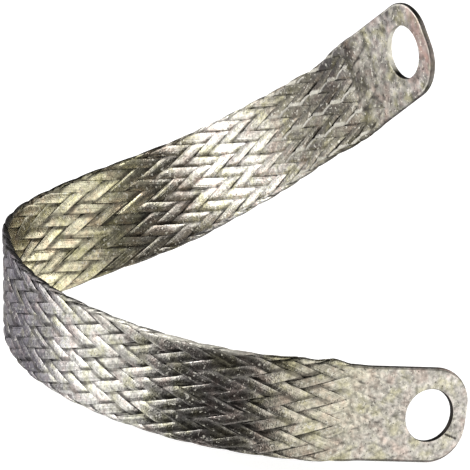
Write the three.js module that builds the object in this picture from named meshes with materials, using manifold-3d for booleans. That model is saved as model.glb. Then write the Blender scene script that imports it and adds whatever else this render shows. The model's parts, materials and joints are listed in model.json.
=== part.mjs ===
// Flexible busbar braid: a flat tubular braid of tinned copper wire, pressed and filled with
// tin at both ends into flat palms, each with one round bolt hole. The whole strap is one piece.
// Units are millimetres and +Z is up. The strap stands on its lower edge, as it comes to rest,
// with the origin on the floor under the middle of its bounding box.

import * as THREE from 'three';
import { mergeVertices } from 'three/addons/utils/BufferGeometryUtils.js';
import Module from 'manifold-3d';

const wasm = await Module();
wasm.setup();

const DEGREE = Math.PI / 180;

// Palms, pressed flat at both ends
const PALM_LENGTH = 23.5;
const PALM_WIDTH = 20;
const PALM_THICKNESS = 1.3;
const PALM_EDGE_CHAMFER = 0.2;
const TIP_CORNER_RADIUS = 8;
const HOLE_DIAMETER = 11;
const HOLE_FROM_TIP = 8.8;

// Braid between the palms
const BRAID_WIDTH = 21.4;
const BRAID_THICKNESS = 1.9;
const STRAND_WIDTH = 2.5;
const STRAND_ANGLE = 19.5;
const STRAND_RELIEF = 0.28;
const ROOT_LENGTH = 9;

// Flat top of one strand float: how far its slopes reach in from its two ends and two sides
const END_SLOPE = 0.9;
const SIDE_SLOPE = 0.4;

// Lengths of the bent stretches, in order from the near palm to the far palm
const NEAR_ARM_LENGTH = 44;
const NEAR_CURVE_LENGTH = 64;
const FOLD_LENGTH = 58;
const FAR_ARM_LENGTH = 42;
const FAR_ROOT_LENGTH = 15;

// The bends in the same order. Each has its length along the strap, the angle it turns through
// away from the outer face, and the twist about the strap's own line, both in degrees.
const BENDS = [
  { length: NEAR_ARM_LENGTH, turn: 62, twist: -5 },
  { length: NEAR_CURVE_LENGTH, turn: 54, twist: -9 },
  { length: FOLD_LENGTH, turn: 123, twist: -45 },
  { length: FAR_ARM_LENGTH, turn: 14, twist: -14 },
  { length: FAR_ROOT_LENGTH, turn: 4, twist: 16 },
];
// Length over which one bend passes into the next
const BEND_EASE = 7;

// How the near palm's tip points when the strap has come to rest, in degrees
const HEADING = -151.4;
const CLIMB = 8.9;
const LEAN = 10.3;

// Fineness of the round cuts and of the walk along the centre line
const HOLE_SEGMENTS = 48;
const CORNER_SEGMENTS = 9;
const WALK_STEP = 0.25;

// Lengths that follow from the sizes above
const firstBend = PALM_LENGTH + BEND_EASE / 2;
const bendLength = BENDS.reduce((sum, bend) => sum + bend.length, 0);
const strapLength = 2 * firstBend + bendLength;

// Smooth step from 0 to 1
function ease(t) {
  const x = Math.min(Math.max(t, 0), 1);
  return x * x * (3 - 2 * x);
}

// Share of a stretch that runs from start to end, eased at both of its ends
function stretchShare(along, start, end) {
  const rise = ease((along - start) / BEND_EASE + 0.5);
  const fall = ease((along - end) / BEND_EASE + 0.5);
  return rise - fall;
}

// Turn and twist per millimetre at a place along the strap, in radians
function bendRates(along) {
  let turn = 0;
  let twist = 0;
  let start = firstBend;
  for (const bend of BENDS) {
    const share = stretchShare(along, start, start + bend.length) / bend.length;
    turn += bend.turn * DEGREE * share;
    twist += bend.twist * DEGREE * share;
    start += bend.length;
  }
  return { turn, twist };
}

// Walks the centre line and returns, at even steps, its place and its three directions:
// along the strap, out of the outer face, and across the width.
function walkCentreLine() {
  const stepCount = Math.round(strapLength / WALK_STEP);
  const step = strapLength / stepCount;
  const place = new THREE.Vector3();
  const pose = new THREE.Quaternion()
    .setFromAxisAngle(new THREE.Vector3(0, 0, 1), HEADING * DEGREE)
    .multiply(new THREE.Quaternion().setFromAxisAngle(new THREE.Vector3(0, 1, 0), -CLIMB * DEGREE))
    .multiply(new THREE.Quaternion().setFromAxisAngle(new THREE.Vector3(1, 0, 0), LEAN * DEGREE));
  const stations = [{ place: place.clone(), pose: pose.clone() }];
  for (let i = 0; i < stepCount; i += 1) {
    const { turn, twist } = bendRates((i + 0.5) * step);
    const rate = new THREE.Vector3(twist, 0, -turn);
    const angle = rate.length() * step;
    const half = new THREE.Quaternion();
    if (angle > 0) half.setFromAxisAngle(rate.clone().normalize(), angle / 2);
    pose.multiply(half);
    place.add(new THREE.Vector3(step, 0, 0).applyQuaternion(pose));
    pose.multiply(half);
    stations.push({ place: place.clone(), pose: pose.clone() });
  }
  return { stations, step };
}

const centreLine = walkCentreLine();

// Carries a point of the flat strap (along, out of the face, across) onto the bent strap
function bendPoint(along, out, across) {
  const { stations, step } = centreLine;
  const last = stations.length - 1;
  const at = Math.min(Math.max(along / step, 0), last);
  const i = Math.min(Math.floor(at), last - 1);
  const pose = stations[i].pose.clone().slerp(stations[i + 1].pose, at - i);
  const place = stations[i].place.clone().lerp(stations[i + 1].place, at - i);
  const overrun = along - at * step;
  return new THREE.Vector3(overrun, out, across).applyQuaternion(pose).add(place);
}

// The weave. Round the flattened tube the strands cross at half a strand's pitch; four such
// steps make one repeat of the two-over, two-under pattern, so their count is a multiple of four.
const halfThickness = BRAID_THICKNESS / 2;
const flatHalfWidth = BRAID_WIDTH / 2 - halfThickness;
const girth = 4 * flatHalfWidth + 2 * Math.PI * halfThickness;
const stepsRound = 4 * Math.round(girth / (2 * STRAND_WIDTH));
const roundStep = girth / stepsRound;
const weaveStart = PALM_LENGTH + roundStep;
const weaveLength = strapLength - 2 * weaveStart;
const naturalStep = roundStep / Math.tan(STRAND_ANGLE * DEGREE);
const stepsAlong = 2 * Math.round(weaveLength / (2 * naturalStep));
const alongStep = weaveLength / stepsAlong;

// Point and outward direction on the braid's round-edged section, at a distance round it that
// starts in the middle of one edge and goes over the outer face first
function braidSection(distance) {
  const quarter = (Math.PI * halfThickness) / 2;
  const flatEnd = girth / 2 - quarter;
  const round = ((distance % girth) + girth) % girth;
  const fromEdge = Math.min(round, girth - round);
  const face = round <= girth / 2 ? 1 : -1;
  let centre = flatHalfWidth - (fromEdge - quarter);
  let angle = Math.PI / 2;
  if (fromEdge < quarter) {
    centre = flatHalfWidth;
    angle = fromEdge / halfThickness;
  } else if (fromEdge > flatEnd) {
    centre = -flatHalfWidth;
    angle = Math.PI - (girth / 2 - fromEdge) / halfThickness;
  }
  const normalAcross = Math.cos(angle);
  const normalOut = face * Math.sin(angle);
  return {
    across: centre + halfThickness * normalAcross,
    out: halfThickness * normalOut,
    normalAcross,
    normalOut,
  };
}

// Point on the palm's chamfered section for a step number round the strap
function palmNode(index) {
  const half = stepsRound / 2;
  const wrapped = ((index % stepsRound) + stepsRound) % stepsRound;
  const face = wrapped < half ? 1 : -1;
  const rank = wrapped % half;
  const edge = PALM_WIDTH / 2;
  const flat = edge - PALM_EDGE_CHAMFER;
  const thick = PALM_THICKNESS / 2;
  if (rank === 0) return { across: face * edge, out: face * (thick - PALM_EDGE_CHAMFER) };
  if (rank === half - 1) return { across: -face * edge, out: face * (thick - PALM_EDGE_CHAMFER) };
  const share = (rank - 1) / (half - 3);
  return { across: face * flat * (1 - 2 * share), out: face * thick };
}

function palmSection(index) {
  const low = palmNode(Math.floor(index));
  const high = palmNode(Math.floor(index) + 1);
  const share = index - Math.floor(index);
  return {
    across: low.across + (high.across - low.across) * share,
    out: low.out + (high.out - low.out) * share,
  };
}

// How far the section has grown from palm to full braid
function braidShare(along) {
  const start = ease((along - PALM_LENGTH) / ROOT_LENGTH);
  const end = ease((strapLength - PALM_LENGTH - along) / ROOT_LENGTH);
  return start * end;
}

// Point of the flat strap at a step number round it and a length along it. The edges of the
// strap lie half a step past whole steps, in the middle of a column of floats.
function surfacePoint(round, along, depth) {
  const share = braidShare(along);
  const palm = palmSection(round - 1);
  const braid = braidSection((round - 0.5) * roundStep);
  const braidOut = braid.out - depth * braid.normalOut;
  const braidAcross = braid.across - depth * braid.normalAcross;
  return [
    along,
    palm.out + (braidOut - palm.out) * share,
    palm.across + (braidAcross - palm.across) * share,
  ];
}

// Flat strap as one closed mesh: a tube of rings along the palms and woven floats between them
function flatStrap() {
  const positions = [];
  const triangles = [];
  const seams = new Map();

  function addPoint(round, along, depth) {
    positions.push(surfacePoint(round, along, depth));
    return positions.length - 1;
  }

  // Low point where strands meet, shared by all the floats around it
  function seamPoint(round, stepAlong) {
    const wrapped = ((round % stepsRound) + stepsRound) % stepsRound;
    const key = `${wrapped} ${stepAlong}`;
    if (!seams.has(key)) {
      const along = weaveStart + stepAlong * alongStep;
      seams.set(key, addPoint(wrapped, along, STRAND_RELIEF));
    }
    return seams.get(key);
  }

  // Palm ring of points at one length along the strap
  function ring(along) {
    const points = [];
    for (let k = 0; k < stepsRound; k += 1) points.push(addPoint(k, along, 0));
    return points;
  }

  // Band of triangles between two rings, the first nearer the start
  function band(first, second) {
    for (let k = 0; k < stepsRound; k += 1) {
      const next = (k + 1) % stepsRound;
      triangles.push([first[k], second[k], second[next]]);
      triangles.push([first[k], second[next], first[next]]);
    }
  }

  // One float: a raised flat top inside the low outline it shares with its neighbours.
  // corners are [round, stepAlong] pairs in order, and lean is +1 or -1 for its direction.
  function addFloat(corners, lean) {
    const middle = [0, 0];
    for (const corner of corners) {
      middle[0] += corner[0] / corners.length;
      middle[1] += corner[1] / corners.length;
    }
    const strandStep = Math.hypot(roundStep, alongStep);
    const [firstRound, firstAlong] = corners[0];
    const halfLength = Math.abs(firstRound - middle[0] + lean * (firstAlong - middle[1])) / 2;
    const lengthKept = 1 - END_SLOPE / (halfLength * strandStep);
    const widthKept = 1 - SIDE_SLOPE / (roundStep * Math.cos(STRAND_ANGLE * DEGREE));
    const outline = [];
    const top = [];
    for (const [round, stepAlong] of corners) {
      const dRound = round - middle[0];
      const dAlong = stepAlong - middle[1];
      const lengthwise = ((dRound + lean * dAlong) / 2) * lengthKept;
      const crosswise = ((dRound - lean * dAlong) / 2) * widthKept;
      const topRound = middle[0] + lengthwise + crosswise;
      const topAlong = middle[1] + lean * (lengthwise - crosswise);
      outline.push(seamPoint(round, stepAlong));
      top.push(addPoint(topRound, weaveStart + topAlong * alongStep, 0));
    }
    const count = corners.length;
    for (let i = 0; i < count; i += 1) {
      const next = (i + 1) % count;
      triangles.push([outline[i], top[i], top[next]]);
      triangles.push([outline[i], top[next], outline[next]]);
    }
    for (let i = 1; i < count - 1; i += 1) triangles.push([top[0], top[i + 1], top[i]]);
  }

  // Floats over two crossings, leaning one way in one column and the other way in the next;
  // at the two ends of the weave only one crossing of some floats is left
  for (let column = 0; column < stepsRound; column += 2) {
    const lean = column % 4 === 0 ? 1 : -1;
    for (let m = lean > 0 ? 0 : 1; m <= stepsAlong + 1; m += 1) {
      if ((column + m) % 2 === 0) continue;
      const other = m + lean;
      const firstIn = m >= 1 && m <= stepsAlong - 1;
      const secondIn = other >= 1 && other <= stepsAlong - 1;
      const first = [[column - 1, m], [column, m - 1], [column + 1, m], [column, m + 1]];
      const second = first.map(([r, a]) => [r + 1, a + lean]);
      if (firstIn && secondIn) {
        addFloat([first[0], first[1], second[1], second[2], second[3], first[3]], lean);
      } else if (firstIn) {
        addFloat(first, lean);
      } else if (secondIn) {
        addFloat(second, lean);
      }
    }
  }

  // Palms at both ends, and the bands that join them to the weave
  const startTip = ring(0);
  const startRoot = ring(PALM_LENGTH);
  const endRoot = ring(strapLength - PALM_LENGTH);
  const endTip = ring(strapLength);
  const weaveFirst = [];
  const weaveLast = [];
  for (let k = 0; k < stepsRound; k += 1) {
    weaveFirst.push(seamPoint(k, k % 2));
    weaveLast.push(seamPoint(k, stepsAlong - (k % 2)));
  }
  band(startTip, startRoot);
  band(startRoot, weaveFirst);
  band(weaveLast, endRoot);
  band(endRoot, endTip);
  for (let k = 1; k < stepsRound - 1; k += 1) {
    triangles.push([startTip[0], startTip[k], startTip[k + 1]]);
    triangles.push([endTip[0], endTip[k + 1], endTip[k]]);
  }
  return new wasm.Manifold(new wasm.Mesh({
    numProp: 3,
    vertProperties: new Float32Array(positions.flat()),
    triVerts: new Uint32Array(triangles.flat()),
  }));
}

// Solid for cutting, made from any closed geometry
function solidFrom(geometry) {
  const bare = geometry.clone();
  bare.deleteAttribute('normal');
  bare.deleteAttribute('uv');
  const merged = mergeVertices(bare);
  return new wasm.Manifold(new wasm.Mesh({
    numProp: 3,
    vertProperties: new Float32Array(merged.attributes.position.array),
    triVerts: new Uint32Array(merged.index.array),
  }));
}

// Bolt hole straight through the palm's faces
function holeCutter(along) {
  const radius = HOLE_DIAMETER / 2;
  const cutter = new THREE.CylinderGeometry(radius, radius, 4 * PALM_THICKNESS, HOLE_SEGMENTS);
  cutter.translate(along, 0, 0);
  return solidFrom(cutter);
}

// Waste outside the rounded corner of a tip: side is +1 or -1 across, and end is the tip's
// place along the strap with the way that points into the strap
function cornerCutter(side, tip, inward) {
  const spare = 2;
  const edge = PALM_WIDTH / 2;
  const radius = TIP_CORNER_RADIUS;
  const outline = [[-spare, edge - radius]];
  for (let i = 0; i <= CORNER_SEGMENTS; i += 1) {
    const angle = (i / CORNER_SEGMENTS) * (Math.PI / 2);
    outline.push([radius * (1 - Math.cos(angle)), edge - radius * (1 - Math.sin(angle))]);
  }
  outline.push([radius, edge + spare], [-spare, edge + spare]);
  const shape = new THREE.Shape(outline.map(([a, u]) => new THREE.Vector2(tip + inward * a, side * u)));
  const height = 4 * PALM_THICKNESS;
  const cutter = new THREE.ExtrudeGeometry(shape, { depth: height, bevelEnabled: false });
  cutter.rotateX(Math.PI / 2);
  cutter.translate(0, height / 2, 0);
  return solidFrom(cutter);
}

// Whole strap: cut while flat, then bent
function strapGeometry() {
  let solid = flatStrap();
  for (const [tip, inward] of [[0, 1], [strapLength, -1]]) {
    solid = solid.subtract(holeCutter(tip + inward * HOLE_FROM_TIP));
    for (const side of [1, -1]) solid = solid.subtract(cornerCutter(side, tip, inward));
  }
  const mesh = solid.getMesh();
  const flat = mesh.vertProperties;
  const bent = new Float32Array(flat.length);
  for (let i = 0; i < flat.length; i += 3) {
    bendPoint(flat[i], flat[i + 1], flat[i + 2]).toArray(bent, i);
  }
  const geometry = new THREE.BufferGeometry();
  geometry.setAttribute('position', new THREE.BufferAttribute(bent, 3));
  geometry.setIndex(new THREE.BufferAttribute(new Uint32Array(mesh.triVerts), 1));
  geometry.computeBoundingBox();
  const middle = geometry.boundingBox.getCenter(new THREE.Vector3());
  geometry.translate(-middle.x, -middle.y, -geometry.boundingBox.min.z);
  geometry.computeVertexNormals();
  return geometry;
}

const tinnedCopper = new THREE.MeshStandardMaterial({
  name: 'tinned_copper',
  color: 0xb4ad9c,
  roughness: 0.45,
  metalness: 0.85,
});

const strap = new THREE.Mesh(strapGeometry(), tinnedCopper);
strap.name = 'braid_strap';

const group = new THREE.Group();
group.add(strap);

export default group;
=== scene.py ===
import json
import math

import bpy
import numpy as np
from mathutils import Matrix, Quaternion, Vector


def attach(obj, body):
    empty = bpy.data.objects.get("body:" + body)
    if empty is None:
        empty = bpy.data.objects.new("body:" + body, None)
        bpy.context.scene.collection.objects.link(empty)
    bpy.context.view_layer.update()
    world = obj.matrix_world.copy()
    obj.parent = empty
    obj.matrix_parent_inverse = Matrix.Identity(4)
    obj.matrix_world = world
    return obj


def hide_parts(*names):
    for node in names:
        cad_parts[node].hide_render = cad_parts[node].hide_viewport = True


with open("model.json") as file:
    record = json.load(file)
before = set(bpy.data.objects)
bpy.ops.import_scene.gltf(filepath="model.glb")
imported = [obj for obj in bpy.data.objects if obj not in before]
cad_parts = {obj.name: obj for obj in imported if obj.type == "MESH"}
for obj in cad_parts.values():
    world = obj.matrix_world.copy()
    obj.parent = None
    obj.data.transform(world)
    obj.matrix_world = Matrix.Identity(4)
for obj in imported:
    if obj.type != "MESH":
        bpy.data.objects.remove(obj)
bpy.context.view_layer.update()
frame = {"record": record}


# The camera. The strap was photographed from far off through a long lens, from the front and
# somewhat above, with the camera rolled a little.
IMAGE_SIDE = 470
PIXELS_PER_METRE = 4851.0
LENS = 1500.0
SENSOR_WIDTH = 36.0
FARTHEST_SEEN = 100.0
# How far the middle of the strap lies behind the near palm's hole, as the camera sees it
MIDDLE_BEHIND_HOLE = 0.025
CAMERA_RIGHT = Vector((0.9957, 0.0378, 0.0844))
CAMERA_BACK = Vector((0.0, -0.9128, 0.4085))
NEAR_HOLE_MIDDLE = Vector((0.041605, -0.032110, 0.010666))
NEAR_HOLE_PIXEL = (427.3, 413.6)

camera_up = CAMERA_BACK.cross(CAMERA_RIGHT).normalized()
camera_right = camera_up.cross(CAMERA_BACK).normalized()
half_image = IMAGE_SIDE / 2
camera_distance = IMAGE_SIDE * LENS / (SENSOR_WIDTH * PIXELS_PER_METRE)
aim = (
    NEAR_HOLE_MIDDLE
    - camera_right * (NEAR_HOLE_PIXEL[0] - half_image) / PIXELS_PER_METRE
    + camera_up * (NEAR_HOLE_PIXEL[1] - half_image) / PIXELS_PER_METRE
    - CAMERA_BACK * MIDDLE_BEHIND_HOLE
)
bpy.ops.object.camera_add(location=aim + CAMERA_BACK * camera_distance)
camera = bpy.context.object
camera.rotation_euler = Matrix((camera_right, camera_up, CAMERA_BACK)).transposed().to_euler()
camera.data.sensor_width = SENSOR_WIDTH
camera.data.lens = LENS
camera.data.clip_end = FARTHEST_SEEN
bpy.context.scene.camera = camera


# The studio: white walls at the sides, a tall dark gap behind the camera, a dim rear wall, a white
# table below, and a half ring of light under a dark ceiling. Metal turned straight to the camera
# mirrors the gap, and metal turned aside mirrors the walls.
GAP_COLOUR = (0.030, 0.028, 0.027)
DARK = (0.03, 0.03, 0.03)
NONE = (0, 0, 0)
SOME = (0.3, 0.3, 0.3)
ALL = (1, 1, 1)
# Each list runs round the compass in degrees, 0 at the camera and positive to the right
LOW_WALLS = [
    (-180, (0.30, 0.29, 0.33)),
    (-145, (0.32, 0.31, 0.35)),
    (-104, (0.36, 0.35, 0.37)),
    (-97, (1.20, 1.18, 1.15)),
    (-75, (1.20, 1.18, 1.15)),
    (-57, GAP_COLOUR),
    (12, GAP_COLOUR),
    (26, (1.0, 0.98, 0.93)),
    (122, (1.2, 1.17, 1.08)),
    (138, DARK),
    (162, DARK),
    (180, (0.30, 0.29, 0.33)),
]
HIGH_WALLS = [
    (-180, DARK),
    (-136, (0.05, 0.05, 0.05)),
    (-128, (1.30, 1.28, 1.28)),
    (-120, (1.30, 1.28, 1.28)),
    (-114, (0.46, 0.45, 0.45)),
    (-106, (0.46, 0.45, 0.45)),
    (-100, (1.75, 1.73, 1.67)),
    (-64, (1.75, 1.73, 1.67)),
    (-46, GAP_COLOUR),
    (4, GAP_COLOUR),
    (25, (1.0, 0.98, 0.93)),
    (66, (1.0, 0.98, 0.93)),
    (88, (1.7, 1.66, 1.52)),
    (120, (1.7, 1.66, 1.52)),
    (138, DARK),
    (180, DARK),
]
# How much of the ring and of the white table is there
RING_PARTS = [
    (-180, NONE), (-130, NONE), (-105, ALL), (-75, ALL), (-50, SOME),
    (20, SOME), (45, ALL), (105, ALL), (130, NONE), (180, NONE),
]
WALL_STRENGTH = 1.25
# Heights on a unit globe: between which the low walls turn into the high ones, then height and
# brightness of the walls from the floor up, of the table and the ring, and of a faint haze
LOW_WALLS_END = (-0.13, -0.02)
WALL_LEVELS = [
    (-1.0, 0.08), (-0.66, 0.20), (-0.46, 0.90), (-0.25, 1.0), (0.42, 1.0), (0.56, 0.04),
]
RING_LEVELS = [
    (-1.0, 0.8), (-0.62, 0.8), (-0.50, 0), (0.52, 0), (0.64, 1), (0.78, 1), (0.90, 0.02),
]
HAZE_LEVELS = [(0.26, 0.0), (0.38, 0.22), (0.48, 0.22), (0.56, 0.0)]


def feed(tree, socket, value):
    """A node's input takes either another node's output or a plain value."""
    if isinstance(value, bpy.types.NodeSocket):
        tree.links.new(value, socket)
    else:
        socket.default_value = value


def worked_out(tree, operation, *values, clamp=False):
    made = tree.nodes.new("ShaderNodeMath")
    made.operation = operation
    made.use_clamp = clamp
    for socket, value in zip(made.inputs, values):
        feed(tree, socket, value)
    return made.outputs[0]


def ranged(tree, value, start, end, low=0.0, high=1.0):
    """Low where the value is at start, high where it is at end, and held there beyond."""
    made = tree.nodes.new("ShaderNodeMapRange")
    feed(tree, made.inputs["Value"], value)
    feed(tree, made.inputs["From Min"], start)
    feed(tree, made.inputs["From Max"], end)
    feed(tree, made.inputs["To Min"], low)
    feed(tree, made.inputs["To Max"], high)
    return made.outputs[0]


def mixed(tree, share, first, second, blend_type="MIX"):
    made = tree.nodes.new("ShaderNodeMixRGB")
    made.blend_type = blend_type
    feed(tree, made.inputs["Fac"], share)
    feed(tree, made.inputs["Color1"], first)
    feed(tree, made.inputs["Color2"], second)
    return made.outputs[0]


def colour_band(tree, value, stops, interpolation="LINEAR"):
    made = tree.nodes.new("ShaderNodeValToRGB")
    ramp = made.color_ramp
    ramp.interpolation = interpolation
    while len(ramp.elements) < len(stops):
        ramp.elements.new(0.5)
    for element, (position, colour) in zip(ramp.elements, stops):
        element.position = position
    for element, (position, colour) in zip(ramp.elements, stops):
        element.color = (*colour, 1)
    feed(tree, made.inputs[0], value)
    return made.outputs[0]


world = bpy.data.worlds.new("studio")
bpy.context.scene.world = world
world.use_nodes = True
studio = world.node_tree
studio.nodes.clear()
direction = studio.nodes.new("ShaderNodeTexCoord")
split = studio.nodes.new("ShaderNodeSeparateXYZ")
feed(studio, split.inputs[0], direction.outputs["Generated"])
to_camera = worked_out(studio, "MULTIPLY", split.outputs["Y"], -1)
compass = worked_out(studio, "ARCTAN2", split.outputs["X"], to_camera)
turn_share = ranged(studio, compass, -math.pi, math.pi)
height_share = ranged(studio, split.outputs["Z"], -1, 1)


def round_about(parts):
    stops = [((angle + 180) / 360, colour) for angle, colour in parts]
    return colour_band(studio, turn_share, stops, "EASE")


def upwards(levels):
    stops = [((height + 1) / 2, (level, level, level)) for height, level in levels]
    return colour_band(studio, height_share, stops, "EASE")


high_share = ranged(studio, split.outputs["Z"], *LOW_WALLS_END)
walls = mixed(studio, high_share, round_about(LOW_WALLS), round_about(HIGH_WALLS))
lit_walls = mixed(studio, 1.0, walls, upwards(WALL_LEVELS), "MULTIPLY")
with_ring = mixed(studio, round_about(RING_PARTS), lit_walls, upwards(RING_LEVELS), "ADD")
room = mixed(studio, 1.0, with_ring, upwards(HAZE_LEVELS), "ADD")

room_light = studio.nodes.new("ShaderNodeBackground")
feed(studio, room_light.inputs["Color"], room)
feed(studio, room_light.inputs["Strength"], WALL_STRENGTH)
# The camera itself sees plain white
white_backdrop = studio.nodes.new("ShaderNodeBackground")
feed(studio, white_backdrop.inputs["Color"], (1, 1, 1, 1))
ray = studio.nodes.new("ShaderNodeLightPath")
seen = studio.nodes.new("ShaderNodeMixShader")
feed(studio, seen.inputs[0], ray.outputs["Is Camera Ray"])
feed(studio, seen.inputs[1], room_light.outputs[0])
feed(studio, seen.inputs[2], white_backdrop.outputs[0])
studio_output = studio.nodes.new("ShaderNodeOutputWorld")
feed(studio, studio_output.inputs["Surface"], seen.outputs[0])

bpy.context.scene.view_settings.view_transform = "Standard"

# One big soft lamp high on the left
LAMP_PLACE = Vector((-0.85, -0.25, 0.70))
LAMP_SIDE = 0.6
LAMP_WATTS = 3.5
bpy.ops.object.light_add(type="AREA", location=LAMP_PLACE)
lamp = bpy.context.object
lamp.data.shape = "DISK"
lamp.data.size = LAMP_SIDE
lamp.data.energy = LAMP_WATTS
lamp.rotation_euler = LAMP_PLACE.to_track_quat("Z", "Y").to_euler()

# Plain pale floor. The camera sees it white, with the strap's soft shadow left on it.
FLOOR_SIDE = 6.0
FLOOR_COLOUR = (0.82, 0.82, 0.82, 1)
FLOOR_GLOW = 0.80
bpy.ops.object.select_all(action="DESELECT")
bpy.ops.mesh.primitive_plane_add(size=FLOOR_SIDE, location=(0, 0, 0))
floor = bpy.context.object
floor.name = "floor"
floor.visible_glossy = False
paper = bpy.data.materials.new("white_paper")
paper.use_nodes = True
paper_tree = paper.node_tree
paper_tree.nodes.clear()
matt = paper_tree.nodes.new("ShaderNodeBsdfDiffuse")
feed(paper_tree, matt.inputs["Color"], FLOOR_COLOUR)
glow = paper_tree.nodes.new("ShaderNodeEmission")
ray = paper_tree.nodes.new("ShaderNodeLightPath")
glow_share = worked_out(paper_tree, "MULTIPLY", ray.outputs["Is Camera Ray"], FLOOR_GLOW)
feed(paper_tree, glow.inputs["Strength"], glow_share)
both = paper_tree.nodes.new("ShaderNodeAddShader")
feed(paper_tree, both.inputs[0], matt.outputs[0])
feed(paper_tree, both.inputs[1], glow.outputs[0])
paper_output = paper_tree.nodes.new("ShaderNodeOutputMaterial")
feed(paper_tree, paper_output.inputs["Surface"], both.outputs[0])
floor.data.materials.append(paper)


# The line of the strap. A flat tubular braid was bent by hand through two long curves and one
# tight fold, so the line is walked from the near palm's tip with a turn and a twist per stretch.
PALM_LENGTH = 0.0235
# Stretches: length in metres, then turn away from the outer face and twist, in degrees
BENDS = [
    (0.044, 62, -5),
    (0.064, 54, -9),
    (0.058, 123, -45),
    (0.042, 14, -14),
    (0.015, 4, 16),
]
BEND_EASE = 0.007
# How the strap sets off from its near tip, in degrees
HEADING = -151.4
CLIMB = 8.9
LEAN = 10.3
WALK_STEP = 0.00025
PALM_THICKNESS = 0.0013
# Where the near palm's mount lies along the strap
MOUNT_ALONG = 0.019

first_bend = PALM_LENGTH + BEND_EASE / 2
strap_length = 2 * first_bend + sum(length for length, turn, twist in BENDS)


def ease(t):
    x = np.clip(t, 0, 1)
    return x * x * (3 - 2 * x)


def rises(value, start, length):
    """0 up to the start, and from there to 1 over the length."""
    return ease((value - start) / length)


def falls(value, end, length):
    """1 until the length before the end, and 0 from the end on."""
    return ease((end - value) / length)


def walk_line():
    count = round(strap_length / WALK_STEP)
    step = strap_length / count
    middle = (np.arange(count) + 0.5) * step
    turn = np.zeros(count)
    twist = np.zeros(count)
    start = first_bend
    for length, bend_turn, bend_twist in BENDS:
        rise = ease((middle - start) / BEND_EASE + 0.5)
        fall = ease((middle - start - length) / BEND_EASE + 0.5)
        turn += math.radians(bend_turn) * (rise - fall) / length
        twist += math.radians(bend_twist) * (rise - fall) / length
        start += length
    pose = (
        Quaternion((0, 0, 1), math.radians(HEADING))
        @ Quaternion((0, 1, 0), math.radians(-CLIMB))
        @ Quaternion((1, 0, 0), math.radians(LEAN))
    )
    place = Vector((0, 0, 0))
    places = [place.copy()]
    axes = [np.array(pose.to_matrix())]
    for i in range(count):
        rate = Vector((twist[i], 0, -turn[i]))
        half_turn = Quaternion()
        if rate.length > 0:
            half_turn = Quaternion(rate.normalized(), rate.length * step / 2)
        pose = pose @ half_turn
        place = place + pose @ Vector((step, 0, 0))
        pose = pose @ half_turn
        places.append(place.copy())
        axes.append(np.array(pose.to_matrix()))
    return np.array(places), np.array(axes), step


line_places, line_axes, line_step = walk_line()


def onto_strap(along, out, across):
    """Points of the flat strap, carried onto the bent one."""
    last = len(line_places) - 1
    at = np.clip(along / line_step, 0, last)
    i = np.minimum(at.astype(int), last - 1)
    share = (at - i)[..., None]
    place = line_places[i] * (1 - share) + line_places[i + 1] * share
    axes = line_axes[i] * (1 - share[..., None]) + line_axes[i + 1] * share[..., None]
    offset = np.stack([along - at * line_step, out, across], axis=-1)
    return place + np.einsum("...ij,...j->...i", axes, offset)


# The walk starts at the origin; the frame says where the near palm really is
palm_mount = [m for m in frame["record"]["mounts"] if m["name"] == "near_palm"][0]
mount_on_walk = onto_strap(
    np.array([MOUNT_ALONG]), np.array([PALM_THICKNESS / 2]), np.array([0.0])
)[0]
line_places += np.array(palm_mount["pos_m"]) - mount_on_walk


# The strands. Thirty-six strands of tinned copper wire, twelve wires side by side in each, are
# braided two over and two under into a tube that is rolled flat. Eighteen lean one way round
# the tube and eighteen the other, and all of them run on into the palms.
BRAID_WIDTH = 0.0214
BRAID_THICKNESS = 0.0019
STRAND_COUNT = 36
STRAND_ANGLE = 19.5
PALM_WIDTH = 0.020
ROOT_LENGTH = 0.009
WIRES = 12
WIRE_HEIGHT = 0.00005
STRAND_THICKNESS = 0.00036
# How far an under-going strand lies below one that goes over, and both below the section
LAYER_DEPTH = 0.00040
SKIN_DEPTH = 0.00003
SMALLEST_RADIUS = 0.00004
# A strand is flat in its middle and rounds off by this much at its sides
CROWN = 0.00022
CROWN_POWER = 2.2
# How much wires and floats lie higher, narrower or tilted: strands are never quite alike
WIRE_LIFT = 0.3
FLOAT_SINK = 0.00010
FLOAT_NARROWING = 0.08
FLOAT_TILT = 0.00006
STRAND_DRIFT = 0.035
DRIFT_RATE = 0.35
DRIFT_SEED = 40
STRAND_SEED = 100
LEFT_STRAND_SEED = 150
FLOATS_DRAWN = 64
FLOAT_TONE_SHARE = 0.6
WIRE_TONE_SHARE = 0.4
# The share of seams that stand open and of float ends that get painted shade, and a seam's width
OPEN_SEAMS = 0.26
DASHED_ENDS = 0.45
OPEN_SEAM_WIDTH = 0.14
OPEN_SEAM_POWER = 8
# How much of them is missing where the weave is tighter, and of the dashes on the root with
# painted highlights
TIGHT_SEAMS_LOST = 0.7
DASHES_LOST = 0.5
# Loops of the top edge that stand out where the near palm was pressed: place along, height
LOOSE_LOOPS = [(0.0330, 0.00070), (0.0400, 0.00055)]
LOOP_LENGTH = 0.0022
# Half the strand's width and half the slope between over and under, in steps of the weave
STRAND_HALF = 1.0
SLOPE_HALF = 0.55
# Rows of points along one repeat of the weave, closest together where a strand goes under
REPEAT = 8
ROWS = [
    -2.0, -1.65, -1.3, -0.9, -0.45, 0, 0.45, 0.9, 1.3, 1.65,
    2.0, 2.35, 2.7, 3.3, 4.0, 4.7, 5.3, 5.65,
]
UNDER_SIDE_POINTS = 3
ROW_ROOM = 0.1
WELD_DISTANCE = 1e-7
# The strands end inside the palms, this far from the tips, and sink where the tin fills them
STRAND_START = 0.0205
SINK_FROM = 0.0215
SINK_TO = 0.0310
SINK = 0.00045

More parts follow.
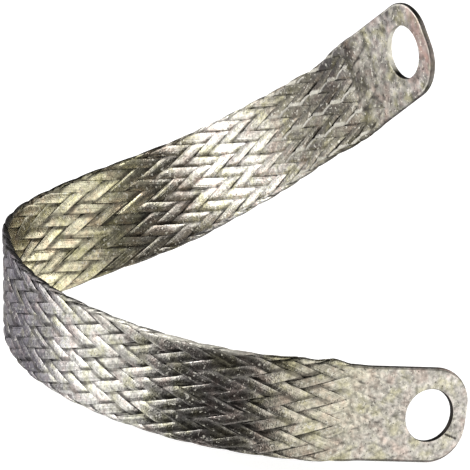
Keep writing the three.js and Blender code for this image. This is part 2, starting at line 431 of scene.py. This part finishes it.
# Where a mark starts or ends along a float, in steps from its middle, and over what length
DASH_FROM = (1.15, 0.55)
HIGHLIGHT_END_FROM = (1.42, 0.22)
HIGHLIGHT_END_TO = (2.6, 0.30)
# How far marks of the top edge reach round the tube, and where the pale one has its middle
LOOP_REACH = 1.1
EDGE_REACH = 0.9
PALE_EDGE_MIDDLE = 0.4
# Painted shade on the dark stretch of the top edge
DARK_EDGE_SHADE = 1.15
# Where the palms' roots end, which have no painted shade in seams or dashes, in metres from either
# tip, and over what length
ROOT_TO = (0.026, 0.012)
# Where a mark starts or ends along the strap, in metres from its near tip, and over what length
PALE_EDGE_FROM = (0.045, 0.010)
PALE_EDGE_TO = (0.095, 0.015)
DARK_EDGE_FROM = (0.070, 0.020)
DARK_EDGE_TO = (0.205, 0.020)
TIGHT_SEAMS_FROM = (0.190, 0.010)
HIGHLIGHT_ROOT_FROM = (0.207, 0.018)
# The broad tints and their painted reflections lean: how far they move along the strap for each
# step across it
NEAR_LEAN = -0.7
NEAR_LEAN_FROM = (0.045, 0.015)
NEAR_LEAN_TO = (0.204, 0.016)
FAR_LEAN = 0.8
FAR_LEAN_FROM = (0.200, 0.025)
# Inside the bend the lower part is painted darker than the upper: painted shade
LOWER_SHADE = 0.32
LOWER_SHADE_FROM = (0.135, 0.015)
LOWER_SHADE_TO = (0.200, 0.012)

half_thickness = BRAID_THICKNESS / 2
flat_half = BRAID_WIDTH / 2 - half_thickness
girth = 4 * flat_half + 2 * math.pi * half_thickness
round_step = girth / STRAND_COUNT
weave_start = PALM_LENGTH + round_step
weave_length = strap_length - 2 * weave_start
natural_step = round_step / math.tan(math.radians(STRAND_ANGLE))
steps_along = 2 * round(weave_length / (2 * natural_step))
along_step = weave_length / steps_along


def from_tip(along):
    return np.minimum(along, strap_length - along)


def section(round_at, along, depth):
    """Out and across of a point at a step round the flattened tube, below its surface."""
    grown = rises(from_tip(along), PALM_LENGTH, ROOT_LENGTH)
    thick = (PALM_THICKNESS + (BRAID_THICKNESS - PALM_THICKNESS) * grown) / 2
    flat = (PALM_WIDTH + (BRAID_WIDTH - PALM_WIDTH) * grown) / 2 - thick
    around = 4 * flat + 2 * math.pi * thick
    distance = np.mod((round_at - 0.5) / STRAND_COUNT, 1.0) * around
    face = np.where(distance <= around / 2, 1.0, -1.0)
    edge = np.minimum(distance, around - distance)
    quarter = math.pi * thick / 2
    centre = np.clip(flat - (edge - quarter), -flat, flat)
    angle = np.clip(edge / thick, 0, math.pi / 2)
    angle = angle + np.clip((edge - (around / 2 - quarter)) / thick, 0, math.pi / 2)
    radius = np.maximum(thick - depth, SMALLEST_RADIUS)
    return face * radius * np.sin(angle), centre + radius * np.cos(angle)


def waviness(seed, *axes):
    """Slow, even-tempered unevenness between -1 and 1, the same each run."""
    draw = np.random.default_rng(seed)
    waves = 4
    total = 0
    for i in range(waves):
        phase = draw.uniform(0, 2 * math.pi)
        for axis in axes:
            phase = phase + axis * draw.uniform(0.5, 1.4) * draw.choice([-1, 1])
        total = total + np.sin(phase)
    return total / waves


def hump(value, reach):
    """1 where the value is 0, and fading to both sides."""
    return np.exp(-((value / reach) ** 2))


def float_middle(number, lean):
    """A float's middle along its strand; left-leaning strands come half a repeat later."""
    return 1 - number if lean > 0 else 1 + REPEAT / 2 - number


def float_number(travel, number, lean):
    """Place along a strand counted from the middle of its nearest over-going float."""
    shifted = travel - float_middle(number, lean) + REPEAT / 2
    return np.mod(shifted, REPEAT) - REPEAT / 2, np.floor(shifted / REPEAT)


def strand_rows(number, lean):
    ends = []
    for along in (STRAND_START, strap_length - STRAND_START):
        step_along = (along - weave_start) / along_step
        ends.append(2 * step_along * lean + number)
    low, high = sorted(ends)
    middle = float_middle(number, lean)
    first = math.floor((low - middle) / REPEAT) - 1
    last = math.ceil((high - middle) / REPEAT) + 1
    rows = [middle + REPEAT * n + row for n in range(first, last) for row in ROWS]
    inner = [row for row in rows if low + ROW_ROOM < row < high - ROW_ROOM]
    return np.array([low] + inner + [high])


def rolled_sheet(name, columns, rows, place, closed_both_ways=False):
    """A flat sheet, rolled by place() into a closed tube or ring, with its edges welded."""
    bpy.ops.object.select_all(action="DESELECT")
    bpy.ops.mesh.primitive_grid_add(x_subdivisions=columns, y_subdivisions=rows, size=1)
    sheet = bpy.context.object
    sheet.name = name
    flat = np.empty(len(sheet.data.vertices) * 3)
    sheet.data.vertices.foreach_get("co", flat)
    flat = flat.reshape(-1, 3)
    column = np.rint((flat[:, 0] + 0.5) * columns).astype(int)
    row = np.rint((flat[:, 1] + 0.5) * rows).astype(int)
    points, marks = place(column, row)
    sheet.data.vertices.foreach_set("co", points.ravel())
    for mark, values in marks.items():
        layer = sheet.data.attributes.new(mark, "FLOAT", "POINT")
        layer.data.foreach_set("value", values.astype(np.float32))
    bpy.ops.object.mode_set(mode="EDIT")
    bpy.ops.mesh.select_all(action="SELECT")
    bpy.ops.mesh.remove_doubles(threshold=WELD_DISTANCE)
    if not closed_both_ways:
        bpy.ops.mesh.select_all(action="DESELECT")
        bpy.ops.mesh.select_non_manifold()
        bpy.ops.mesh.fill_holes(sides=0)
    bpy.ops.mesh.select_all(action="SELECT")
    bpy.ops.mesh.normals_make_consistent(inside=False)
    bpy.ops.object.mode_set(mode="OBJECT")
    return sheet


def strand(number, lean):
    """One strand: number is its odd place round the tube, lean is +1 or -1."""
    travel_rows = strand_rows(number, lean)
    top_points = 2 * WIRES + 1
    loop = top_points + UNDER_SIDE_POINTS
    draw = np.random.default_rng((STRAND_SEED if lean > 0 else LEFT_STRAND_SEED) + number)
    wire_lift = draw.uniform(-WIRE_LIFT, WIRE_LIFT, WIRES) * WIRE_HEIGHT
    float_sink = draw.uniform(0, 1, FLOATS_DRAWN) * FLOAT_SINK
    float_width = 1 - draw.uniform(0, 1, FLOATS_DRAWN) ** 2 * FLOAT_NARROWING
    float_roll = draw.uniform(-1, 1, FLOATS_DRAWN) * FLOAT_TILT
    float_pitch = draw.uniform(-1, 1, FLOATS_DRAWN) * FLOAT_TILT
    float_tone = draw.uniform(0, 1, FLOATS_DRAWN)
    # A few seams between floats stand open; the rest are nearly closed
    seam_open = np.where(draw.uniform(0, 1, (2, FLOATS_DRAWN)) < OPEN_SEAMS, 1.0, 0.0)
    wire_tone = draw.uniform(0, 1, WIRES)
    float_dash = np.where(draw.uniform(0, 1, (2, FLOATS_DRAWN)) < DASHED_ENDS, 1.0, 0.0)

    def place(column, row):
        ring = column % loop
        travel = travel_rows[row]
        on_top = ring < top_points
        share = np.where(on_top, ring / (top_points - 1), 0.5)
        below = (ring - top_points + 1) / (UNDER_SIDE_POINTS + 1)
        share = np.where(on_top, share, 1 - below)
        side = 2 * share - 1
        wire = np.clip((share * WIRES).astype(int), 0, WIRES - 1)
        in_float, which = float_number(travel, number, lean)
        which = which.astype(int) % FLOATS_DRAWN

        # Where it lies: along its own way, round the tube and below the tube's surface
        under = rises(np.abs(in_float), 2 - SLOPE_HALF, 2 * SLOPE_HALF)
        opened = seam_open[(side > 0).astype(int), which] * (1 - under)
        narrowed = 1 - OPEN_SEAM_WIDTH * opened * np.abs(side)
        drift_seed = DRIFT_SEED + 3 * number + 7 * lean
        drift = STRAND_DRIFT * waviness(drift_seed, travel * DRIFT_RATE)
        lateral = side * STRAND_HALF * float_width[which] * narrowed + drift
        round_at = (travel + number + lateral) / 2
        along = weave_start + lean * (travel - number - lateral) / 2 * along_step
        tip_way = from_tip(along)
        layer = SKIN_DEPTH + LAYER_DEPTH * under
        uneven = float_sink[which] + float_roll[which] * side + float_pitch[which] * in_float
        depth = layer + np.maximum(uneven, -SKIN_DEPTH) * (1 - under)
        depth = depth + CROWN * np.abs(side) ** CROWN_POWER
        crest = (ring % 2 == 1) & on_top
        depth = depth + np.where(crest, wire_lift[wire], WIRE_HEIGHT)
        depth = np.where(on_top, depth, layer + STRAND_THICKNESS)
        depth = depth + SINK * (1 - rises(tip_way, SINK_FROM, SINK_TO - SINK_FROM))
        from_top_edge = np.mod(round_at - 0.5 + STRAND_COUNT / 2, STRAND_COUNT) - STRAND_COUNT / 2
        for loop_along, loop_height in LOOSE_LOOPS:
            nearness = hump(along - loop_along, LOOP_LENGTH)
            depth = depth - loop_height * nearness * hump(from_top_edge, LOOP_REACH)
        out, across = section(round_at, along, depth)

        # Painted shade in open seams and in dashes at float ends, fewer where the weave is tighter
        past_root = rises(tip_way, *ROOT_TO)
        inner_face = out < 0
        highlight_root = inner_face * rises(along, *HIGHLIGHT_ROOT_FROM)
        tight = inner_face * rises(along, *TIGHT_SEAMS_FROM)
        gap = np.abs(side) ** OPEN_SEAM_POWER * opened * on_top * past_root
        gap = gap * (1 - TIGHT_SEAMS_LOST * tight)
        dashed = float_dash[(in_float > 0).astype(int), which] * past_root
        dash = dashed * rises(np.abs(in_float), *DASH_FROM)
        dash = dash * (1 - DASHES_LOST * tight - DASHES_LOST * highlight_root)
        # On the far root the lower ends of the floats get painted highlights, and so does some of
        # the near arm's top edge; further on that edge gets painted shade
        lower_end = -lean * in_float
        painted_highlight = rises(lower_end, *HIGHLIGHT_END_FROM) * falls(lower_end, *HIGHLIGHT_END_TO) * on_top
        painted_highlight = painted_highlight * highlight_root * (0.65 + 0.35 * float_tone[which])
        pale_edge = hump(from_top_edge - PALE_EDGE_MIDDLE, EDGE_REACH)
        pale_edge = pale_edge * falls(along, *PALE_EDGE_TO) * rises(along, *PALE_EDGE_FROM)
        pale_edge = pale_edge * (0.35 + 0.65 * float_tone[which]) * on_top
        painted_highlight = np.maximum(painted_highlight, pale_edge)
        dark_edge = DARK_EDGE_SHADE * hump(from_top_edge, EDGE_REACH)
        dark_edge = dark_edge * rises(along, *DARK_EDGE_FROM) * falls(along, *DARK_EDGE_TO)

        # Slant of the tints and of their painted reflections across the strap
        tint_lean = NEAR_LEAN * rises(along, *NEAR_LEAN_FROM) * falls(along, *NEAR_LEAN_TO)
        tint_lean = tint_lean + FAR_LEAN * rises(along, *FAR_LEAN_FROM)
        # Painted shade: inside the bend the strap darkens towards its lower side
        stain_and_shade = LOWER_SHADE * across / (BRAID_WIDTH / 2)
        stain_and_shade = stain_and_shade * rises(along, *LOWER_SHADE_FROM) * falls(along, *LOWER_SHADE_TO)
        tone = FLOAT_TONE_SHARE * float_tone[which] + WIRE_TONE_SHARE * wire_tone[wire]
        marks = {
            "along": (along + tint_lean * across) / strap_length,
            "tone": tone + stain_and_shade,
            # Painted shade where a strand dives under, in open seams, in dashes and on the dark
            # top edge
            "under": np.maximum.reduce([under, gap, dash, dark_edge]) * (1 - painted_highlight),
            "painted_highlight": painted_highlight,
        }
        return onto_strap(along, out, across), marks

    return rolled_sheet("strand", loop, len(travel_rows) - 1, place)


# Broad tints, from the near palm's tip at 0 to the far palm's at 1, and how far they wander. They
# are partly the tin's own colour and partly painted reflection: the dark and bright stretches
# stand for the dark gap and the bright walls mirrored in the metal.
TINTS_AND_REFLECTIONS = [
    (0.00, (0.57, 0.55, 0.53)),
    (0.08, (0.54, 0.52, 0.48)),
    (0.12, (0.58, 0.555, 0.46)),
    (0.155, (0.60, 0.565, 0.48)),
    (0.19, (0.72, 0.68, 0.64)),
    (0.245, (0.45, 0.435, 0.41)),
    (0.29, (0.62, 0.61, 0.575)),
    (0.34, (0.86, 0.85, 0.82)),
    (0.42, (0.58, 0.56, 0.59)),
    (0.51, (0.62, 0.59, 0.48)),
    (0.56, (0.70, 0.67, 0.52)),
    (0.595, (0.88, 0.84, 0.62)),
    (0.625, (0.68, 0.64, 0.46)),
    (0.65, (0.30, 0.285, 0.24)),
    (0.685, (0.31, 0.29, 0.26)),
    (0.718, (0.92, 0.89, 0.84)),
    (0.735, (1.00, 0.98, 0.93)),
    (0.765, (0.92, 0.90, 0.84)),
    (0.80, (0.46, 0.435, 0.37)),
    (0.83, (0.28, 0.265, 0.22)),
    (0.89, (0.235, 0.22, 0.185)),
    (0.915, (0.49, 0.47, 0.42)),
    (0.96, (0.56, 0.54, 0.51)),
    (1.00, (0.45, 0.425, 0.41)),
]
TINT_WANDER = 0.07
OLIVE_STAIN = (0.86, 0.85, 0.62)
COPPER_STAIN = (1.0, 0.86, 0.83)
STAINS = [(0.34, OLIVE_STAIN), (0.5, (1, 1, 1)), (0.66, COPPER_STAIN)]
PIT_COLOUR = (0.06, 0.055, 0.05, 1)
# Painted shade: the colour laid where the under mark is high
PAINTED_SHADE_COLOUR = (0.035, 0.030, 0.026, 1)
CUT_COPPER_COLOUR = (0.66, 0.44, 0.38, 1)
# Painted highlight: the pale colour of lit float ends, edges and walls
PAINTED_HIGHLIGHT_COLOUR = (0.95, 0.92, 0.82, 1)
# Pattern scales, per metre
TINT_SCALE = 110
STAIN_SCALE = 260
PIT_SCALE = 1700
NICK_SCALE = 1500
DULL_SCALE = 900
SCUFF_SCALE = 2800
# How far single wires and floats are darker or lighter than the tint
DARKEST_TONE = 0.52
LIGHTEST_TONE = 1.30
# Levels of the noise between which blotches go from dark to light, and how light they get
BLOTCH_LEVELS = (0.32, 0.68)
BLOTCH_LIGHT = 0.85
# Levels of the noise below which pits start and above which nicks start, and the way to full
PIT_FROM = 0.35
NICKS_FROM = 0.64
FULL_AFTER = 0.05
NICK_SHARE = 0.75
# No nicks where the painted shade mark is above this
NICKS_UP_TO = 0.5
PAINTED_SHADE_SHARE = 0.75
PAINTED_HIGHLIGHT_SHARE = 0.95
PALE_MARK_METAL = 0.1
SMOOTHER_BY = 0.10
ROUGHER_BY = 0.12
SCUFF_DEPTH = 0.00010


def tin_skin(name, roughness, stain_share, pits, scuffing, blotches, blotch_scale):
    """Tinned copper wire: warm bright tin, dulled and stained in patches, with painted shade in
    the gaps and painted highlights.
    """
    finish = bpy.data.materials.new(name)
    finish.use_nodes = True
    tree = finish.node_tree
    tin = tree.nodes["Principled BSDF"]
    place = tree.nodes.new("ShaderNodeTexCoord")

    def mark(mark_name):
        made = tree.nodes.new("ShaderNodeAttribute")
        made.attribute_name = mark_name
        return made.outputs["Fac"]

    def noise(scale, detail, coarseness=0.5):
        made = tree.nodes.new("ShaderNodeTexNoise")
        feed(tree, made.inputs["Vector"], place.outputs["Object"])
        feed(tree, made.inputs["Scale"], scale)
        feed(tree, made.inputs["Detail"], detail)
        feed(tree, made.inputs["Roughness"], coarseness)
        return made.outputs["Fac"]

    # Broad tints along the strap, partly painted reflection
    tint_place = worked_out(tree, "SUBTRACT", mark("along"), TINT_WANDER / 2)
    wander = noise(TINT_SCALE, 2)
    tint_place = worked_out(tree, "MULTIPLY_ADD", wander, TINT_WANDER, tint_place)
    colour = colour_band(tree, tint_place, TINTS_AND_REFLECTIONS)

    # Olive and copper-pink stains, a few millimetres across
    stain_and_shade = noise(STAIN_SCALE, 4, 0.6)
    colour = mixed(tree, stain_share, colour, colour_band(tree, stain_and_shade, STAINS), "MULTIPLY")

    # Each strand and wire took the tin a little differently; on the strands this tone also carries
    # painted shade inside the bend
    tone = ranged(tree, mark("tone"), 0, 1, DARKEST_TONE, LIGHTEST_TONE)
    colour = mixed(tree, 1.0, colour, tone, "MULTIPLY")

    # Blotches under a millimetre across, and dark pits in the tin
    blotch = noise(blotch_scale, 3)
    blotch = ranged(tree, blotch, *BLOTCH_LEVELS, 1 - blotches, 1 + BLOTCH_LIGHT * blotches)
    colour = mixed(tree, 1.0, colour, blotch, "MULTIPLY")
    pit = ranged(tree, noise(PIT_SCALE, 2), PIT_FROM, PIT_FROM - FULL_AFTER, 0, pits)
    colour = mixed(tree, pit, colour, PIT_COLOUR)

    # Painted shade where the under mark is high: where a strand dives under its neighbours, in
    # seams, in holes and along dark edges
    under = mark("under")
    painted_shade = worked_out(tree, "MULTIPLY", under, PAINTED_SHADE_SHARE)
    colour = mixed(tree, painted_shade, colour, PAINTED_SHADE_COLOUR)

    # Bare copper where the tip was cut
    copper = worked_out(tree, "MULTIPLY", mark("cut"), stain_and_shade)
    colour = mixed(tree, copper, colour, CUT_COPPER_COLOUR)

    # Matt pale nicks, and painted highlights on float ends and edges, which look pale from all
    # sides
    # Pale matt specks: partly real nicks and tin dust, partly painted glints of single wires
    nick = noise(NICK_SCALE, 1)
    nick = ranged(tree, nick, NICKS_FROM, NICKS_FROM + FULL_AFTER, 0, NICK_SHARE)
    nick = worked_out(tree, "MULTIPLY", nick, ranged(tree, under, 0, NICKS_UP_TO, 1, 0))
    matt_share = worked_out(tree, "MULTIPLY_ADD", mark("painted_highlight"), PAINTED_HIGHLIGHT_SHARE, nick, clamp=True)
    colour = mixed(tree, matt_share, colour, PAINTED_HIGHLIGHT_COLOUR)
    feed(tree, tin.inputs["Base Color"], colour)
    feed(tree, tin.inputs["Metallic"], ranged(tree, matt_share, 0, 1, 1, PALE_MARK_METAL))

    # Uneven sheen and fine scuffs
    sheen = noise(DULL_SCALE, 3)
    sheen = ranged(tree, sheen, 0, 1, roughness - SMOOTHER_BY, roughness + ROUGHER_BY)
    feed(tree, tin.inputs["Roughness"], sheen)
    bump = tree.nodes.new("ShaderNodeBump")
    feed(tree, bump.inputs["Strength"], scuffing)
    feed(tree, bump.inputs["Distance"], SCUFF_DEPTH)
    feed(tree, bump.inputs["Height"], noise(SCUFF_SCALE, 4))
    feed(tree, tin.inputs["Normal"], bump.outputs[0])
    return finish


strand_tin = tin_skin(
    "tinned_wire",
    roughness=0.24,
    stain_share=0.8,
    pits=0.7,
    scuffing=0.6,
    blotches=0.38,
    blotch_scale=1150,
)

STRANDS_IN_PIECE = 6
STRAND_SMOOTHED = math.radians(70)
for lean, side_name in ((1, "right"), (-1, "left")):
    for group in range(STRAND_COUNT // 2 // STRANDS_IN_PIECE):
        members = []
        for n in range(STRANDS_IN_PIECE):
            number = 2 * (group * STRANDS_IN_PIECE + n) + 1
            members.append(strand(number, lean))
        bpy.ops.object.select_all(action="DESELECT")
        for member in members:
            member.select_set(True)
        bpy.context.view_layer.objects.active = members[0]
        bpy.ops.object.join()
        bpy.ops.object.shade_smooth_by_angle(angle=STRAND_SMOOTHED)
        strands = bpy.context.object
        strands.name = f"strands_{side_name}_{group + 1}"
        strands.data.materials.append(strand_tin)
        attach(strands, "root")
        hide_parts("braid_strap")


# The palms. Each end of the braid is pressed flat and filled with tin, so the strands show only
# as a shallow print. The tip is cut round, and one bolt hole is punched through.
HOLE_DIAMETER = 0.011
HOLE_FROM_TIP = 0.0088
TIP_CORNER_RADIUS = 0.008
PALM_END = 0.034
# The tin ends in a tongue inside the braid, which drops below the strands and gets narrower
TIN_FRONT = 0.0255
TIN_FRONT_LENGTH = 0.008
TIN_FRONT_DROP = 0.0006
TIN_FRONT_NARROWING = 0.05
# The long edges are the tube's folds and rounder than the cut tip
EDGE_ROUND = 0.00028
FOLD_ROUND = 0.00055
RIM_ROUND = 0.00018
# Points round the palm, part by part, and rings of points from the hole to the edge
END_POINTS = 84
SIDE_POINTS = 76
CORNER_POINTS = 44
TIP_POINTS = 16
SKIN_RINGS = 74
EDGE_RINGS = 7
# The print of the weave is patchy and fades towards the tip, most on the far palm
PRINT_DEPTH = 0.00016
FAR_PRINT_SHARE = 0.55
NEAR_PRINT_LEFT = 0.50
NEAR_PRINT_FROM = (0.006, 0.016)
FAR_PRINT_LEFT = 0.10
FAR_PRINT_FROM = (0.012, 0.014)
ROOT_PRINT = 0.8
ROOT_PRINT_FROM = (0.018, 0.009)
# The least of the print that a patch keeps, and what the fullest patch has on top
PATCH_LEAST = 0.25
PATCH_MORE = 0.95
SEAM_POWER = 1.5
PRINT_CROWN_POWER = 3
# Where a float's print ends, in steps of the weave from its middle, and over what length
PRINT_END_FROM = (1.2, 0.8)
SWELL_HEIGHT = 0.00003
GRAIN_HEIGHT = 0.00001
# Uneven patterns: seed, then waves in the first and the second direction, per step of the weave
PRINT_PATCHES = (21, 2.3, 2.9)
SEAM_DASHES = (61, 3.1, 3.7)
TONE_PATCHES = (9, 1.3, 1.1)
# The same, per metre along and across
GRAIN = (31, 5200, 5900)
SWELLS = (5, 900, 900)
UPPER_EDGE_PATCHES = (83, 1500, 1300)
BRIGHT_RIM_PATCHES = (85, 3000, 2500)
WORN_PATCHES = (77, 2600, 1500)
# A nick in the near palm, from the rim of its hole towards the tip: (from tip, across)
NICK_FROM = (0.0044, -0.0039)
NICK_TO = (0.0019, -0.0047)
NICK_HALF = 0.00021
NICK_DEPTH = 0.00016
# Painted shade in the nick
NICK_SHADE = 1.3
# Painted shade in the hole and on the near palm's long edges; the far palm is also darker on its
# end and in patches by its upper edge
HOLE_SHADE = 1.32
FOLD_SHADE = 0.85
END_DARKENING = 0.95
UPPER_EDGE_DARKENING = 0.45
UPPER_EDGE_FROM = (0.0080, 0.0012)
# Where the cut tip ends, where the far palm gets painted highlights on its hole wall and end rim,
# and where it is worn to copper
CUT_TO = (0.010, 0.004)
PALE_WALL = 0.55
PALE_WALL_FROM = (-0.0030, 0.0020)
BRIGHT_RIM_TO = (0.012, 0.004)
WORN_COPPER = 1.5
WORN_COPPER_TO = (0.0046, 0.0026)


def uneven_pattern(pattern, one_way, other_way, far=False):
    """Waviness over the palm; where far counts, the far palm's differs from the near one's."""
    seed, one_scale, other_scale = pattern
    return waviness(seed + far, one_way * one_scale, other_way * other_scale)


def palm_outline():
    """Outline points (from tip, across) in order round the palm, with their outward ways."""
    edge = PALM_WIDTH / 2
    corner = TIP_CORNER_RADIUS
    points = []
    for share in np.arange(END_POINTS) / END_POINTS:
        points.append((PALM_END, -edge + 2 * edge * share, 1, 0))
    for share in np.arange(SIDE_POINTS) / SIDE_POINTS:
        points.append((PALM_END + (corner - PALM_END) * share, edge, 0, 1))
    for angle in np.arange(CORNER_POINTS) / CORNER_POINTS * math.pi / 2:
        way = (-math.sin(angle), math.cos(angle))
        points.append((corner + corner * way[0], edge - corner + corner * way[1], *way))
    for share in np.arange(TIP_POINTS) / TIP_POINTS:
        points.append((0, (edge - corner) * (1 - 2 * share), -1, 0))
    for angle in np.arange(CORNER_POINTS) / CORNER_POINTS * math.pi / 2:
        way = (-math.cos(angle), -math.sin(angle))
        points.append((corner + corner * way[0], corner - edge + corner * way[1], *way))
    for share in np.arange(SIDE_POINTS) / SIDE_POINTS:
        points.append((corner + (PALM_END - corner) * share, -edge, 0, -1))
    return np.array(points)


def weave_print(round_at, step_at):
    """Height of the braid's surface: 1 on the crown of a float, falling to 0 at its seams."""
    number = 2 * np.floor((round_at - step_at) / 2) + 1
    other = 2 * np.floor((round_at + step_at) / 2) + 1
    side = round_at - step_at - number
    cross = round_at + step_at - other
    # At two crossings the right-leaning strand is on top, at the next two the left-leaning one
    crossing = (number + other) / 2
    leans_right = np.mod(crossing, 4) < 2
    lateral = np.where(leans_right, side, cross)
    travel = np.where(leans_right, round_at + step_at, round_at - step_at)
    middle = np.where(leans_right, float_middle(number, 1), float_middle(other, -1))
    in_float = np.mod(travel - middle + REPEAT / 2, REPEAT) - REPEAT / 2
    sides = 1 - np.abs(lateral) ** PRINT_CROWN_POWER
    ends = 1 - rises(np.abs(in_float), *PRINT_END_FROM) ** 2
    return sides * ends


def palm(name, far):
    outline = palm_outline()
    count = len(outline)
    half = PALM_THICKNESS / 2
    hole_middle = np.array([HOLE_FROM_TIP, 0])
    outward = outline[:, 2:]
    edge = outline[:, :2]
    edge_round = EDGE_ROUND + (FOLD_ROUND - EDGE_ROUND) * np.abs(outward[:, 1]) ** 3
    from_hole = edge - hole_middle
    spoke = from_hole / np.linalg.norm(from_hole, axis=1)[:, None]
    rim = hole_middle + spoke * HOLE_DIAMETER / 2
    # Rows run down the hole's wall, under the palm, up its edge, over its face and back
    rows = []
    corner = np.linspace(0, math.pi / 2, EDGE_RINGS)
    for angle in corner:
        lift = half - RIM_ROUND * (1 - math.sin(angle))
        rows.append(("rim", RIM_ROUND * (1 - math.cos(angle)), lift))
    for share in np.linspace(0, 1, SKIN_RINGS)[1:-1]:
        rows.append(("skin", share, half))
    for angle in corner[::-1]:
        rows.append(("edge", 1 - math.cos(angle), math.sin(angle)))
    rows += [(kind, inset, -lift) for kind, inset, lift in rows[::-1]]
    ring_count = len(rows)
    kinds = np.array([kind for kind, inset, lift in rows])
    insets = np.array([inset for kind, inset, lift in rows])
    lifts = np.array([lift for kind, inset, lift in rows])
    print_depth = PRINT_DEPTH * (FAR_PRINT_SHARE if far else 1.0)
    print_left = FAR_PRINT_LEFT if far else NEAR_PRINT_LEFT
    print_from = FAR_PRINT_FROM if far else NEAR_PRINT_FROM

    def place(column, row):
        c = column % count
        r = row % ring_count
        on_rim = kinds[r] == "rim"
        on_skin = kinds[r] == "skin"
        on_edge = kinds[r] == "edge"
        inset = insets[r][:, None]
        low = rim[c] + spoke[c] * RIM_ROUND
        high = edge[c] - outward[c] * edge_round[c, None]
        skin = low + (high - low) * inset
        at_rim = rim[c] + spoke[c] * inset
        at_edge = edge[c] - outward[c] * inset * edge_round[c, None]
        flat = np.where(on_skin[:, None], skin, np.where(on_rim[:, None], at_rim, at_edge))
        tip_way = flat[:, 0]
        across = flat[:, 1]
        along = strap_length - tip_way if far else tip_way
        lift = lifts[r]
        face = np.sign(lift)
        lift = np.where(on_edge, face * (half - edge_round[c] * (1 - np.abs(lift))), lift)
        inland = np.where(on_skin, 1.0, 0.0)

        # The print of the weave, the swells of the tin, and its front inside the braid
        steps = STRAND_COUNT / 2
        round_at = 0.5 + steps * (0.5 - face * across / PALM_WIDTH) + np.where(face < 0, steps, 0)
        step_at = (along - weave_start) / along_step
        woven = weave_print(round_at, step_at)
        left = print_left + (1 - print_left) * rises(tip_way, *print_from)
        patchy = 0.5 + 0.5 * uneven_pattern(PRINT_PATCHES, round_at, step_at, far)
        near_root = 1 + ROOT_PRINT * rises(tip_way, *ROOT_PRINT_FROM)
        seam = (1 - woven) ** SEAM_POWER * (PATCH_LEAST + PATCH_MORE * patchy**2)
        seam = seam * left * inland * near_root
        grain = uneven_pattern(GRAIN, tip_way, across, far)
        swell = SWELL_HEIGHT * uneven_pattern(SWELLS, tip_way, across, far)
        swell = swell + GRAIN_HEIGHT * grain
        front = rises(tip_way, TIN_FRONT, TIN_FRONT_LENGTH)
        grown = rises(tip_way, PALM_LENGTH, ROOT_LENGTH)
        thicker = (BRAID_THICKNESS - PALM_THICKNESS) / 2 * grown
        height = np.abs(lift) + thicker - print_depth * seam + swell * inland
        height = height - TIN_FRONT_DROP * front
        wider = 1 + (BRAID_WIDTH / PALM_WIDTH - 1) * grown - TIN_FRONT_NARROWING * front

        # Painted shade in the seams, in dashes, in the hole and on the near palm's long edges, and
        # darker marks on the far palm's end and upper edge
        dashes = rises(uneven_pattern(SEAM_DASHES, round_at, step_at, far), 0.05, 0.35)
        dark = np.clip(seam, 0, 1) * (0.25 + 0.75 * dashes)
        in_hole = on_rim & (np.abs(lift) < half - RIM_ROUND / 8)
        on_end = on_edge & (np.abs(lift) < half - EDGE_ROUND / 2)
        on_end_rim = on_edge & (np.abs(lift) > half - EDGE_ROUND / 2)
        cut = on_end * falls(tip_way, *CUT_TO)
        if far:
            # Painted highlight on one side of the hole's wall; the rest of the wall gets painted
            # shade
            pale_wall = in_hole * rises(across, *PALE_WALL_FROM)
            # The far palm's cut end is darker
            end_darkening = END_DARKENING * cut
            # A patchy darker band by the far palm's upper edge
            patch = rises(uneven_pattern(UPPER_EDGE_PATCHES, tip_way, across), 0, 0.4)
            upper_edge_darkening = UPPER_EDGE_DARKENING * rises(across, *UPPER_EDGE_FROM) * patch * inland
            hole_shade = HOLE_SHADE * in_hole * (1 - pale_wall)
            under = np.maximum.reduce([dark, hole_shade, end_darkening, upper_edge_darkening])
            # Painted highlight along the rim of the far palm's end
            bright_rim = 0.45 + 0.45 * uneven_pattern(BRIGHT_RIM_PATCHES, tip_way, across)
            bright_rim = on_end_rim * bright_rim * falls(tip_way, *BRIGHT_RIM_TO)
            painted_highlight = np.maximum(PALE_WALL * pale_wall, bright_rim)
            worn = np.clip(0.62 + 0.60 * uneven_pattern(WORN_PATCHES, tip_way, across), 0, 1)
            cut = WORN_COPPER * worn * falls(tip_way, *WORN_COPPER_TO) * (1 - end_darkening)
        else:
            run = np.array(NICK_TO) - np.array(NICK_FROM)
            ahead = flat - np.array(NICK_FROM)
            share = np.clip(ahead @ run / (run @ run), 0, 1)
            away = np.linalg.norm(ahead - share[:, None] * run, axis=1)
            nick = (1 - rises(away, NICK_HALF / 2, NICK_HALF)) * (face > 0) * inland
            height = height - NICK_DEPTH * nick
            fold_shade = FOLD_SHADE * on_edge * (np.abs(outward[c, 1]) > 0.5)
            under = np.maximum.reduce([dark, HOLE_SHADE * in_hole, fold_shade, NICK_SHADE * nick])
            painted_highlight = np.zeros(len(tip_way))
        tone = 0.55 + 0.3 * uneven_pattern(TONE_PATCHES, round_at, step_at) + 0.15 * grain
        marks = {
            "along": along / strap_length,
            "tone": tone,
            "under": under,
            "cut": cut,
            "painted_highlight": painted_highlight,
        }
        return onto_strap(along, face * height, across * wider), marks

    return rolled_sheet(name, count, ring_count, place, closed_both_ways=True)


PALM_SMOOTHED = math.radians(50)
near_tin = tin_skin(
    "pressed_tin",
    roughness=0.36,
    stain_share=0.75,
    pits=0.85,
    scuffing=0.9,
    blotches=0.44,
    blotch_scale=1000,
)
far_tin = tin_skin(
    "stained_tin",
    roughness=0.34,
    stain_share=1.0,
    pits=1.0,
    scuffing=1.0,
    blotches=0.60,
    blotch_scale=620,
)
for palm_name, far, palm_tin in (("near_palm", False, near_tin), ("far_palm", True, far_tin)):
    pressed = palm(palm_name, far)
    bpy.ops.object.shade_smooth_by_angle(angle=PALM_SMOOTHED)
    pressed.data.materials.append(palm_tin)
    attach(pressed, "root")
    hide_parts("braid_strap")
